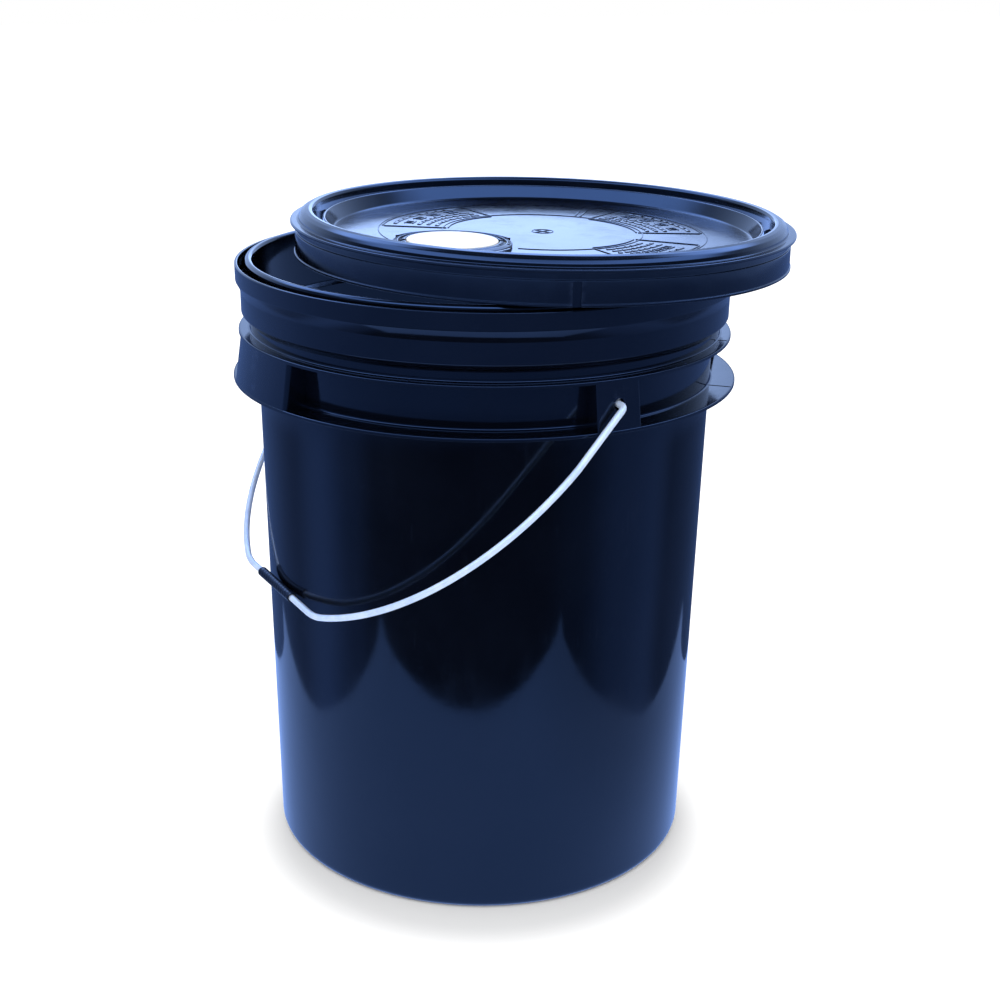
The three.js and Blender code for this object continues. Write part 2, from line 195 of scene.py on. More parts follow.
def sweep(name, profile, angles, drops=None):
    """A closed profile carried through azimuths, in degrees, with flat ends. Where a point's third
    value is set, it moves inward by the drop at that azimuth."""
    drops = drops or [0] * len(angles)
    verts, faces = [], []
    for azimuth, drop in zip(angles, drops):
        a = radians(azimuth)
        for point in profile:
            r = point[0] - (drop if len(point) > 2 and point[2] else 0)
            verts.append((r * math.cos(a), r * math.sin(a), point[1]))
    count = len(profile)
    for i in range(len(angles) - 1):
        for k in range(count):
            n = (k + 1) % count
            faces.append([i * count + k, i * count + n, (i + 1) * count + n, (i + 1) * count + k])
    faces.append(list(range(count)))
    faces.append(list(range((len(angles) - 1) * count, len(angles) * count)))
    return new_object(name, verts, faces)


def box_section(inner, outer, low, high):
    return [(inner, low), (outer, low), (outer, high), (inner, high)]


def block(name, size, centre, bevel=0):
    """A small bar, which may have softened edges. Sizes are in millimetres."""
    made = bmesh.new()
    bmesh.ops.create_cube(made, size=1)
    bmesh.ops.scale(made, vec=Vector(size) * MM, verts=made.verts)
    if bevel:
        edges = made.edges[:]
        bmesh.ops.bevel(made, geom=edges, offset=bevel * MM, segments=2, affect="EDGES", profile=0.5)
    bmesh.ops.translate(made, vec=Vector(centre) * MM, verts=made.verts)
    mesh = bpy.data.meshes.new(name)
    made.to_mesh(mesh)
    made.free()
    item = bpy.data.objects.new(name, mesh)
    bpy.context.scene.collection.objects.link(item)
    return item


def drum(name, radius, low, high, turns=48):
    """A plain round bar on the Z axis."""
    return lathe(name, [(0, low), (radius, low), (radius, high), (0, high)], turns)


def turned_by(item, matrix):
    item.data.transform(matrix)
    return item


def combine(target, tool, operation):
    """Joins a solid to the target, or cuts it out, and removes the tool."""
    change = target.modifiers.new("combine", "BOOLEAN")
    change.operation = operation
    change.solver = "MANIFOLD"
    change.object = tool
    graph = bpy.context.evaluated_depsgraph_get()
    result = bpy.data.meshes.new_from_object(target.evaluated_get(graph))
    target.modifiers.clear()
    target.data = result
    bpy.data.objects.remove(tool)


def joined(items):
    """Several solids that don't meet, as one object."""
    first = items[0]
    whole = bmesh.new()
    for item in items:
        whole.from_mesh(item.data)
    whole.to_mesh(first.data)
    whole.free()
    for item in items[1:]:
        bpy.data.objects.remove(item)
    return first


def finish_piece(item, body, nodes, material, crease=38, place=None):
    """Smooths a piece, paints it and hangs it on its body in place of its CAD nodes. place takes it
    from its own frame to the pail's."""
    mesh = item.data
    if place:
        mesh.transform(place)
    mesh.materials.clear()
    mesh.materials.append(material)
    mesh.shade_smooth()
    mesh.set_sharp_from_angle(angle=radians(crease))
    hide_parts(*nodes)
    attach(item, body)


def tube(name, path, radius, sides=24):
    """A round bar through a path of points, with slightly domed ends."""
    path = [Vector(p) for p in path]
    verts, faces = [], []
    side = Vector((0, 0, 1))
    for i, point in enumerate(path):
        ahead = path[min(i + 1, len(path) - 1)] - path[max(i - 1, 0)]
        ahead.normalize()
        side = (side - ahead * side.dot(ahead)).normalized()
        other = ahead.cross(side)
        for k in range(sides):
            a = 2 * math.pi * k / sides
            verts.append(point + (side * math.cos(a) + other * math.sin(a)) * radius)
    for i in range(len(path) - 1):
        for k in range(sides):
            n = (k + 1) % sides
            faces.append([i * sides + k, i * sides + n, (i + 1) * sides + n, (i + 1) * sides + k])
    for end, beyond in ((0, path[0] - path[1]), (len(path) - 1, path[-1] - path[-2])):
        dome = beyond.normalized() * radius * 0.25
        inner = len(verts)
        for k in range(sides):
            rim = verts[end * sides + k]
            verts.append(path[end] + (rim - path[end]) * 0.72 + dome)
        tip = len(verts)
        verts.append(path[end] + dome * 1.15)
        for k in range(sides):
            n = (k + 1) % sides
            faces.append([end * sides + k, end * sides + n, inner + n, inner + k])
            faces.append([inner + k, inner + n, tip])
    return new_object(name, verts, faces)


# ---------------------------------------------------------------- materials

DEEP_NAVY = (0.0009, 0.0014, 0.0034, 1)
PALE_NAVY = (0.0016, 0.0025, 0.0062, 1)
SCUFF = (0.02, 0.034, 0.08, 1)
GLOSS_TINT = (0.62, 0.80, 1.0, 1)
ZINC_DEEP = (0.58, 0.71, 0.92, 1)
ZINC_PALE = (0.70, 0.81, 0.96, 1)
TARNISH = (0.36, 0.45, 0.62, 1)


class Shade:
    """A material being built: nodes are added by kind, with their inputs by name."""

    def __init__(self, name):
        self.material = bpy.data.materials.new(name)
        self.material.use_nodes = True
        self.tree = self.material.node_tree
        self.tree.nodes.clear()
        self.place = self.add("ShaderNodeTexCoord").outputs["Object"]

    def add(self, kind, inputs=None, **settings):
        made = self.tree.nodes.new(kind)
        for key, value in settings.items():
            setattr(made, key, value)
        for key, value in (inputs or {}).items():
            socket = made.inputs[key]
            if isinstance(value, bpy.types.NodeSocket):
                self.tree.links.new(value, socket)
            else:
                socket.default_value = value
        return made

    def noise(self, scale, detail=3.0, rough=0.5, vector=None, distortion=0.0):
        inputs = {"Scale": scale, "Detail": detail, "Roughness": rough, "Distortion": distortion}
        inputs["Vector"] = vector or self.place
        return self.add("ShaderNodeTexNoise", inputs).outputs["Fac"]

    def stretched(self, scales, turn=(0, 0, 0)):
        inputs = {"Vector": self.place, "Scale": scales, "Rotation": turn}
        return self.add("ShaderNodeMapping", inputs).outputs["Vector"]

    def span(self, value, low, high, to_low=0.0, to_high=1.0):
        inputs = {"Value": value, "From Min": low, "From Max": high, "To Min": to_low, "To Max": to_high}
        return self.add("ShaderNodeMapRange", inputs, interpolation_type="SMOOTHSTEP").outputs["Result"]

    def math(self, operation, a, b=0.0):
        return self.add("ShaderNodeMath", {0: a, 1: b}, operation=operation).outputs[0]

    def blend(self, factor, a, b):
        made = self.add("ShaderNodeMix", data_type="RGBA")
        for socket, value in ((made.inputs[0], factor), (made.inputs[6], a), (made.inputs[7], b)):
            if isinstance(value, bpy.types.NodeSocket):
                self.tree.links.new(value, socket)
            else:
                socket.default_value = value
        return made.outputs[2]

    def bump(self, height, distance, before=None):
        inputs = {"Height": height, "Distance": distance, "Strength": 1.0}
        if before:
            inputs["Normal"] = before
        return self.add("ShaderNodeBump", inputs).outputs["Normal"]

    def scratches(self, scales, turn, width, seed_scale):
        """Thin lines where a stretched noise passes its middle value, broken up along their length."""
        lines = self.noise(1.0, 1.0, 0.4, self.stretched(scales, turn), 0.6)
        near = self.math("ABSOLUTE", self.math("SUBTRACT", lines, 0.5))
        thin = self.span(near, 0.0, width, 1.0, 0.0)
        breaks = self.span(self.noise(seed_scale, 2.0), 0.56, 0.64)
        return self.math("MULTIPLY", thin, breaks)

    def done(self, shader):
        output = self.tree.nodes.new("ShaderNodeOutputMaterial")
        self.tree.links.new(shader.outputs[0], output.inputs["Surface"])
        return self.material


def black_plastic(name, gloss, rough, wave, wear):
    """Glossy moulded plastic: cloudy gloss, hairline scratches, worn edges and slow sink marks."""
    s = Shade(name)
    cloud = s.noise(14.0, 4.0, 0.55)
    smear = s.noise(55.0, 3.0, 0.6, s.stretched((1.0, 1.0, 0.35)))
    grain = s.noise(2600.0, 2.0, 0.5)
    up_down = s.scratches((420.0, 420.0, 9.0), (0.06, 0.04, 0.0), 0.010, 40.0)
    slanted = s.scratches((300.0, 12.0, 300.0), (0.5, 0.3, 0.9), 0.008, 60.0)
    hairline = s.math("MAXIMUM", up_down, slanted)
    edge = s.span(s.add("ShaderNodeNewGeometry").outputs["Pointiness"], 0.515, 0.58)
    worn = s.math("MULTIPLY", edge, s.span(s.noise(210.0, 4.0, 0.7), 0.42, 0.62))
    tone = s.blend(s.span(cloud, 0.3, 0.75), DEEP_NAVY, PALE_NAVY)
    marks = s.math("MAXIMUM", s.math("MULTIPLY", worn, wear), s.math("MULTIPLY", hairline, 0.06))
    color = s.blend(s.math("MINIMUM", marks, 1.0), tone, SCUFF)
    base = s.span(cloud, 0.25, 0.8, gloss, rough)
    roughness = s.math("ADD", base, s.span(smear, 0.45, 0.75, 0.0, 0.05))
    roughness = s.math("ADD", roughness, s.math("MULTIPLY", hairline, 0.07))
    roughness = s.math("ADD", roughness, s.math("MULTIPLY", worn, 0.08))
    normal = s.bump(s.noise(11.0, 1.0, 0.4), wave * 4)
    normal = s.bump(s.noise(70.0, 2.0, 0.5), 0.00003, normal)
    normal = s.bump(grain, 0.0000025, normal)
    normal = s.bump(hairline, -0.000004, normal)
    shader = s.add("ShaderNodeBsdfPrincipled", {
        "Base Color": color, "Roughness": roughness, "Normal": normal,
        "IOR": 1.5, "Specular IOR Level": 0.5, "Specular Tint": GLOSS_TINT,
    })
    return s.done(shader)


def zinc_wire():
    """Zinc plate: a faint spangle, lines along the drawn wire, and duller patches."""
    s = Shade("zinc_wire")
    spangle = s.noise(160.0, 3.0, 0.6)
    drawn = s.noise(1.0, 2.0, 0.5, s.stretched((1500.0, 60.0, 1500.0)))
    tarnish = s.span(s.noise(38.0, 4.0, 0.65), 0.5, 0.75)
    tone = s.blend(s.span(spangle, 0.3, 0.7), ZINC_DEEP, ZINC_PALE)
    color = s.blend(s.math("MULTIPLY", tarnish, 0.35), tone, TARNISH)
    roughness = s.math("ADD", s.span(drawn, 0.3, 0.7, 0.40, 0.52), s.math("MULTIPLY", tarnish, 0.12))
    normal = s.bump(drawn, 0.000012)
    normal = s.bump(spangle, 0.00002, normal)
    shader = s.add("ShaderNodeBsdfPrincipled", {
        "Base Color": color, "Roughness": roughness, "Normal": normal, "Metallic": 0.3,
    })
    return s.done(shader)


def matt(name, deep, pale, rough, grain_scale, grain_depth, subsurface=0.0):
    """Satin or matt plastics and rubber."""
    s = Shade(name)
    cloud = s.noise(45.0, 4.0, 0.6)
    grain = s.noise(grain_scale, 3.0, 0.6)
    edge = s.span(s.add("ShaderNodeNewGeometry").outputs["Pointiness"], 0.52, 0.6)
    tone = s.blend(s.span(cloud, 0.3, 0.7), deep, pale)
    lighter = tuple(min(1.0, v * 1.5 + 0.02) for v in pale[:3]) + (1,)
    color = s.blend(s.math("MULTIPLY", edge, 0.4), tone, lighter)
    hairline = s.scratches((240.0, 14.0, 240.0), (0.3, 0.2, 0.6), 0.012, 80.0)
    roughness = s.math("ADD", s.span(grain, 0.3, 0.7, rough - 0.06, rough + 0.06),
                       s.math("MULTIPLY", hairline, 0.15))
    normal = s.bump(grain, grain_depth)
    normal = s.bump(hairline, -0.00002, normal)
    shader = s.add("ShaderNodeBsdfPrincipled", {
        "Base Color": color, "Roughness": roughness, "Normal": normal,
        "Specular IOR Level": 0.4, "Subsurface Weight": subsurface, "Subsurface Scale": 0.002,
    })
    return s.done(shader)


# Roughness where the cloudy gloss is best and worst, height of the waves in the surface, wear
PAIL_PLASTIC = black_plastic("pail_plastic", 0.07, 0.13, 0.00022, 0.2)
LID_PLASTIC = black_plastic("lid_plastic", 0.09, 0.17, 0.00012, 0.25)
SPOUT_PLASTIC = black_plastic("spout_plastic", 0.16, 0.26, 0.00005, 0.25)
ZINC = zinc_wire()
# Darkest and palest colour, roughness, scale and depth of the grain, light let in
GRIP_PLASTIC = matt(
    "grip_plastic", (0.002, 0.003, 0.006, 1), (0.004, 0.006, 0.012, 1), 0.3, 1800.0, 0.00003)
RUBBER = matt(
    "gasket_rubber", (0.02, 0.022, 0.026, 1), (0.034, 0.036, 0.042, 1), 0.75, 1500.0, 0.00003)
SOFT_PLASTIC = matt(
    "soft_plastic", (0.62, 0.66, 0.70, 1), (0.74, 0.77, 0.80, 1), 0.42, 1300.0, 0.00001, 0.15)
CAP_PLASTIC = matt(
    "cap_plastic", (0.80, 0.80, 0.74, 1), (0.90, 0.90, 0.85, 1), 0.30, 1600.0, 0.000006, 0.08)


# ---------------------------------------------------------------- pail

def flange_points(flange, root_above=None):
    """A 2 mm flange; the wall above it may start at a radius of its own."""
    radius, z = flange
    low, high = z - 1, z + 1
    root_above = root_above or wall_radius(high)
    return [(wall_radius(low), low, 1.2), (radius, low, 0.35), (radius, high, 0.8), (root_above, high, 1.2)]


def rim_points():
    """From the neck out round the guard, down into the channel and over the bead to the inside."""
    guard_inner = GUARD_RADIUS - GUARD_WALL
    lower_inner = GUARD_LOWER - GUARD_WALL
    step = GUARD_BAND - 7
    return [
        (NECK_RADIUS, NECK_TOP, 1.5),
        (GUARD_LOWER - 0.3, GUARD_BOTTOM, 0.5),
        (GUARD_LOWER, GUARD_BOTTOM + 0.5, 0.5),
        (GUARD_LOWER + 0.1, step, 4),
        (GUARD_LOWER + 0.9, step + 3, 4),
        (GUARD_RADIUS - 0.15, GUARD_BAND - 0.4, 1.2),
        (GUARD_RADIUS, GUARD_TOP, 0.7),
        (guard_inner, GUARD_TOP, 0.6),
        (guard_inner, GUARD_BAND - 1, 2),
        (lower_inner + 0.6, step + 1.5, 2),
        (lower_inner, CHANNEL_FLOOR, 1),
        (NECK_RADIUS, CHANNEL_FLOOR, 1),
        (NECK_RADIUS, 361, 1),
        (BEAD[0] + BEAD_RADIUS, 363.2, 0.6),
        *arc(*BEAD, BEAD_RADIUS, 0, 180, 10),
        (138.2, LEDGE_Z + 3.6, 2),
        (wall_radius(LEDGE_Z) - WALL, LEDGE_Z, 1.5),
    ]


def pail_points():
    """The pail's whole section, from the axis under the floor round to the axis on top of it."""
    inside = wall_radius(FLOOR_Z + 6) - WALL
    return [
        (0, 0.9),
        (3.2, 0.9),
        (3.8, 0, 0.3),
        (22, 0, 0.8),
        (23, 3, 0.8),
        (68, 3, 0.5),
        (68.6, 1.4, 0.5),
        (71.4, 1.4, 0.5),
        (72, 3, 0.5),
        (118, 3, 0.8),
        (119, 0, 0.8),
        *arc(wall_radius(5) - 5, 5, 5, -90, 0, 8),
        *evenly_up(8, 290, 6),
        *flange_points(LOWER_FLANGE),
        *flange_points(UPPER_FLANGE, NECK_RADIUS),
        *rim_points(),
        (wall_radius(200) - WALL, 200),
        *arc(inside - 6, FLOOR_Z + 6, 6, 0, -90, 6),
        (20, FLOOR_Z),
        (0, FLOOR_Z),
    ]


def evenly_up(low, high, steps):
    return [(wall_radius(z), z) for z in evenly(low, high, steps)]


def corner_angles(half, corner, radius):
    """Azimuths from -half to half and how far the face drops at each, for a rounded corner."""
    width = math.degrees(corner / radius)
    turns = [radians(t) for t in evenly(0, 90, 6)]
    side = [(half - width * (1 - math.sin(t)), corner * (1 - math.cos(t))) for t in turns]
    flat = evenly(-(half - width), half - width, max(4, int(half)))
    angles = [-a for a, _ in reversed(side)] + flat[1:-1] + [a for a, _ in side]
    drops = [d for _, d in reversed(side)] + [0] * len(flat[1:-1]) + [d for _, d in side]
    return angles, drops


def panel(half, corner):
    """A plain flush panel between the flanges, hollow and open below, about azimuth 0."""
    low, high = LOWER_FLANGE[1], UPPER_FLANGE[1]
    face_low, face_high = LOWER_FLANGE[0] - 0.12, UPPER_FLANGE[0] - 0.12
    angles, drops = corner_angles(half, corner, face_high)
    profile = [
        (wall_radius(low) - 1, low),
        (face_low, low, 1),
        (face_high, high, 1),
        (wall_radius(high) - 1, high),
    ]
    return sweep("panel", profile, angles, drops)


def pocket(half):
    """The hollow behind a panel."""
    low, high = LOWER_FLANGE[1] - 3, UPPER_FLANGE[1] - 1
    wall = math.degrees(PANEL_WALL / LOWER_FLANGE[0])
    profile = [
        (wall_radius(low) + 1.5, low),
        (LOWER_FLANGE[0] - PANEL_WALL - 0.3, low),
        (UPPER_FLANGE[0] - PANEL_WALL - 0.3, high - 2),
        (wall_radius(high) + 0.2, high - 2),
    ]
    return sweep("pocket", profile, evenly(-(half - wall), half - wall, 8))


def seam(azimuth, flange):
    """A raised flash line across the top of a flange."""
    radius, z = flange
    width = math.degrees(0.4 / radius)
    root = NECK_RADIUS if flange == UPPER_FLANGE else wall_radius(z)
    section = box_section(root - 0.5, radius - 0.7, z + 0.5, z + 1.2)
    return sweep("seam", section, [azimuth - width, azimuth + width])


def about_z(item, degrees):
    return turned_by(item, Matrix.Rotation(radians(degrees), 4, "Z"))


def build_pail():
    pail = lathe("pail_body", rounded(pail_points(), closed=False), PAIL_TURNS)
    for side in (0, 180):
        combine(pail, about_z(panel(WIDE_HALF, 2.4), side), "UNION")
        combine(pail, about_z(pocket(WIDE_HALF), side), "DIFFERENCE")
    sideways = Matrix.Rotation(radians(90), 4, "X")
    for ear in (90, -90):
        combine(pail, about_z(panel(EAR_HALF, 1.1), ear), "UNION")
        combine(pail, about_z(pocket(EAR_HALF), ear), "DIFFERENCE")
        at = Matrix.Translation((0, math.copysign(EAR_FACE, ear) * MM, HINGE_Z * MM))
        combine(pail, turned_by(drum("hole", 3.3, -9, 9), at @ sideways), "DIFFERENCE")
    for azimuth in SEAM_AZIMUTHS:
        for flange in (LOWER_FLANGE, UPPER_FLANGE):
            combine(pail, seam(azimuth, flange), "UNION")
    ribs = [about_z(block("rib", (44, 1.2, 2.2), (45.6, 0, 2.9)), 45 * i) for i in range(8)]
    combine(pail, joined(ribs), "UNION")
    finish_piece(pail, "pail", ["pail"], PAIL_PLASTIC)


# ---------------------------------------------------------------- bail

WIRE_RADIUS = 1.9
BAIL_HALF = 158.4  # half the width of the bow, also its radius
BAIL_TOP_HALF = 155.0  # the same beside the ears
BAIL_DROP = 192.3  # from the hinge to the straight part that the grip is on
KINK_HALF = 50.0  # half that straight part
HANG_ANGLE = 44.2  # degrees below level
HOOK_HALF = 143.6  # half the distance between the hooks' tips, behind the ears
HOOK_LENGTH = 7.0
HOOK_BEND = 3.6
GRIP_BORE = 2.22
GRIP_RADIUS = 3.0


def softened(points, reach):
    """Replaces each corner of an open path by a short curve."""
    made = [points[0]]
    for back, here, on in zip(points, points[1:], points[2:]):
        a, b = back - here, on - here
        if math.pi - a.angle(b) < radians(6):
            made.append(here)
            continue
        start = here + a.normalized() * min(reach, 0.45 * a.length)
        end = here + b.normalized() * min(reach, 0.45 * b.length)
        made += [start * (1 - t) ** 2 + here * 2 * t * (1 - t) + end * t * t for t in evenly(0, 1, 6)]
    return made + [points[-1]]


def bail_route():
    """The wire's middle line from hook to hook, as distance across and distance out."""
    bend = HOOK_BEND
    rise = math.sqrt(BAIL_HALF ** 2 - KINK_HALF ** 2)
    half = [(HOOK_HALF, -HOOK_LENGTH)]
    half += arc(HOOK_HALF + bend, -bend, bend, 180, 90, 8)
    half += arc(BAIL_TOP_HALF - bend, bend, bend, -90, 0, 8)
    last = math.degrees(math.asin(rise / BAIL_HALF)) - 1.5
    half += arc(0, BAIL_DROP - rise, BAIL_HALF, 0, last, 44)
    half.append((KINK_HALF - 4, BAIL_DROP))
    return half + [(-across, out) for across, out in reversed(half)]


def build_bail():
    c, s = math.cos(radians(HANG_ANGLE)), math.sin(radians(HANG_ANGLE))
    path = [Vector((-out * c, across, HINGE_Z - out * s)) for across, out in bail_route()]
    wire = tube("bail_rod", softened(path, 4.0), WIRE_RADIUS)
    finish_piece(wire, "bail", ["bail_wire"], ZINC, 60)

    low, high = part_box("bail_grip")
    end = (high.y - low.y) / 2 / MM
    groove_top, groove_floor = GRIP_RADIUS - 0.03, GRIP_RADIUS - 0.12
    ring = [(GRIP_BORE, -end, 0.2), (GRIP_RADIUS, -end, 0.35)]
    for z in evenly(-end + 4, end - 4, 12):
        ring += [(groove_top, z - 0.7), (groove_floor, z - 0.3)]
        ring += [(groove_floor, z + 0.3), (groove_top, z + 0.7)]
    ring += [(GRIP_RADIUS, end, 0.35), (GRIP_BORE, end, 0.2)]
    grip = lathe("hand_sleeve", rounded(ring), 48)
    combine(grip, block("slit", (4, 0.5, 60), (2.6, 0, 0)), "DIFFERENCE")
    along = Matrix.Translation((low + high) / 2) @ Matrix.Rotation(radians(90), 4, "X")
    turned_by(grip, along)
    finish_piece(grip, "grip", ["bail_grip"], GRIP_PLASTIC, 45)


# ---------------------------------------------------------------- lid

SKIRT_BOTTOM = -25.9
SKIRT_RADIUS = 146.5
LID_FLANGE = 149.1
DECK_RADIUS = 124.5
DECK_UNDER = -14.8
CHANNEL_INNER = 130.3
CHANNEL_OUTER = 135.2
MARK_HEIGHT = 0.45  # of a raised line on the deck


def lid_points():
    """The lid's whole section, from the axis under the deck round to the axis on top of it."""
    return [
        (0, DECK_UNDER),
        # two rings under the deck
        (27, DECK_UNDER), (27.5, DECK_UNDER - 1.6, 0.4),
        (29.3, DECK_UNDER - 1.6, 0.4), (29.8, DECK_UNDER),
        (112, DECK_UNDER, 0.4), (112.4, DECK_UNDER - 2.2, 0.4),
        (114, DECK_UNDER - 2.2, 0.4), (114.5, DECK_UNDER, 0.4),
        (DECK_RADIUS - 1.5, DECK_UNDER, 1),
        # under the channel, then down to the foot of the plug wall, which fits inside a pail's rim
        (128.6, -19, 1), (CHANNEL_OUTER, -19, 0.8),
        (135.4, -24.6, 0.5), (136.2, -25.3, 0.5), (137.2, -24.6, 0.5),
        # groove for the sealing ring
        (137.6, -3.4, 0.5), (138.4, -2.4, 0.4), (140.5, -2.4, 0.6),
        (142.2, -3.9, 0.8), (143.4, -6.5, 1), (144, -9.2, 1),
        # skirt with a small lip at its foot
        (144.4, SKIRT_BOTTOM, 0.6), (SKIRT_RADIUS + 0.6, SKIRT_BOTTOM, 0.5),
        (SKIRT_RADIUS + 0.6, SKIRT_BOTTOM + 1.3, 0.4),
        (SKIRT_RADIUS, SKIRT_BOTTOM + 1.5, 0.4),
        (SKIRT_RADIUS - 0.2, -12.2, 0.35), (SKIRT_RADIUS - 0.9, -12.0, 0.3),
        (SKIRT_RADIUS - 0.9, -7.8, 0.5),
        (LID_FLANGE, -7.8, 0.55), (LID_FLANGE, -6.1, 0.55),
        # shoulder and crest of the rim
        (144.5, -6, 0.9), (144.2, -4, 1.6), (142.9, -1.9, 1.8), (140.5, -0.5, 2), (138.2, 0, 1),
        # channel inside the rim
        (136.4, -0.3, 1), (135.5, -1.7, 1), (CHANNEL_OUTER, -4.4, 2),
        (CHANNEL_OUTER, -17, 1), (CHANNEL_INNER, -17, 1),
        # inner lip, down to the deck
        (129.9, -4.6, 0.5), (128.7, -4.6, 0.7),
        (DECK_RADIUS, DECK_Z, 1.6), (DECK_RADIUS - 8, DECK_Z),
        (98, DECK_Z), (60, DECK_Z), (20, DECK_Z), (0, DECK_Z),
    ]


def raised(inner, outer, start, end, height=MARK_HEIGHT):
    """A raised curved line on the deck between two radii and two azimuths."""
    low, high = DECK_Z - 0.4, DECK_Z + height
    mid = (inner + outer) / 2
    ridge = (outer - inner) * 0.28
    profile = [
        (inner, low), (outer, low), (outer, high - 0.12),
        (mid + ridge, high), (mid - ridge, high), (inner, high - 0.12),
    ]
    steps = max(1, int(abs(end - start) / 3))
    return sweep("raised", profile, evenly(start, end, steps))


def ray(azimuth, inner, outer, width=0.8, turn=0.0):
    """A raised straight line on the deck that runs outward, or turned from that about its middle."""
    sunk = 0.4
    middle = ((outer + inner) / 2, 0, DECK_Z + (MARK_HEIGHT - sunk) / 2)
    bar = block("ray", (outer - inner, width, sunk + MARK_HEIGHT), middle, 0.1)
    if turn:
        centre = Vector(((outer + inner) / 2 * MM, 0, 0))
        spin = Matrix.Rotation(radians(turn), 4, "Z")
        turned_by(bar, Matrix.Translation(centre) @ spin @ Matrix.Translation(-centre))
    return about_z(bar, azimuth)


def label_frame(start, end):
    """A plain sector frame filled with rows of short raised bars, in place of any marking."""
    marks = [raised(56, 56.8, start + 1, end - 1), raised(95.4, 96.2, start + 1, end - 1)]
    marks += [ray(start, 57.4, 94.8), ray(end, 57.4, 94.8)]
    for radius in (63, 68.5, 74, 88.5):
        at = start + 5
        while at < end - 7:
            length = random.uniform(1.6, 5.2)
            marks.append(raised(radius, radius + 2.2, at, at + length, 0.4))
            at += length + random.uniform(1.2, 2.4)
    for at in evenly(start + 11, end - 11, 3):
        marks.append(raised(79.2, 80, at - 2.6, at + 2.6, 0.4))
        marks.append(raised(84.2, 85, at - 2.6, at + 2.6, 0.4))
        marks.append(ray(at - 1.6, 80.4, 83.8))
        marks.append(ray(at + 1.6, 80.4, 83.8))
    return marks


def add_deck_marks(lid):
    """The raised circles, the cross at the centre, the plain frames and two slanting lines."""
    full_turn = 359.9  # a hair short, so that the ends don't meet
    marks = [
        raised(6.2, 6.6, 0, full_turn, 0.25),
        raised(59.2, 59.9, 0, 196, 0.35),
        raised(59.2, 59.9, 255, full_turn, 0.35),
        raised(97.2, 97.9, 0, 205, 0.35),
        raised(97.2, 97.9, 246, full_turn, 0.35),
    ]
    combine(lid, joined(marks), "UNION")
    for degrees in (45, 135):
        tick = block("tick", (12, 0.7, 0.7), (0, 0, DECK_Z), 0.1)
        combine(lid, about_z(tick, degrees), "UNION")
    frames = label_frame(122, 177) + label_frame(3, 58) + label_frame(-62, -20)
    combine(lid, joined(frames), "UNION")
    for azimuth in (68, 71):
        combine(lid, ray(azimuth, 61, 94, 0.9, 9), "UNION")


def add_spout_seat(lid):
    """The two low curved walls round the spout, and its hole."""
    inner, outer, top = 35.4, 37, DECK_Z + 2
    guard = [
        (inner, DECK_Z - 0.6), (outer, DECK_Z - 0.6), (outer, top - 0.4),
        (outer - 0.3, top), (inner + 0.3, top), (inner, top - 0.4),
    ]
    place = Matrix.Translation((SPOUT[0] * MM, SPOUT[1] * MM, 0))
    for start in (27, 207):
        combine(lid, turned_by(sweep("guard", guard, evenly(start, start + 126, 42)), place), "UNION")
    combine(lid, turned_by(drum("hole", 29, -30, 0, 96), place), "DIFFERENCE")


def build_lid():
    lid = lathe("lid_shell", rounded(lid_points(), closed=False), PAIL_TURNS)
    rib = [(130.1, -17.4), (135.4, -17.4), (135.4, -7.5), (130.1, -9.5)]
    ribs = [sweep("rib", rib, [a - 0.25, a + 0.25]) for a in range(0, 360, 12)]
    combine(lid, joined(ribs), "UNION")
    gusset = [(113.5, -15), (113.5, -16.8), (127.5, -18.6), (127.5, -17.5), (123, -14.5)]
    gussets = [sweep("gusset", gusset, [a - 0.3, a + 0.3]) for a in range(6, 360, 15)]
    combine(lid, joined(gussets), "UNION")
    add_deck_marks(lid)
    add_spout_seat(lid)
    notch = [
        (SKIRT_RADIUS - 0.75, -27), (SKIRT_RADIUS + 2, -27),
        (SKIRT_RADIUS + 2, -12.4), (SKIRT_RADIUS - 0.75, -12.4),
    ]
    combine(lid, sweep("notch", notch, evenly(-85.6, -83.8, 3)), "DIFFERENCE")
    finish_piece(lid, "lid", ["lid"], LID_PLASTIC, 32, LID)

    ring = [
        (138.0, -4.9), (141.3, -4.9), (141.5, -4.3),
        (140.4, -2.95), (138.3, -2.95), (138.0, -3.4),
    ]
    gasket = lathe("sealing_ring", rounded(ring, 0.25), PAIL_TURNS)
    finish_piece(gasket, "lid", ["lid_gasket"], RUBBER, 38, LID)


# ---------------------------------------------------------------- spout

SEAT = DECK_Z + 0.3  # underside of the spout's flange
FLANGE_TOP = SEAT + 0.9
RING_TOP = FLANGE_TOP + 1.5
CAP_TOP = -9.4
CAP_PLATE = -11.2  # underside of the cap's disc
CAP_RADIUS = 26.1
CAP_SKIRT = 25.4
PULL_INNER = 26.5
PULL_OUTER = 30.2


def build_spout():
    add_spout_fold()
    add_retainer()
    add_cap()
    add_pull_rings()


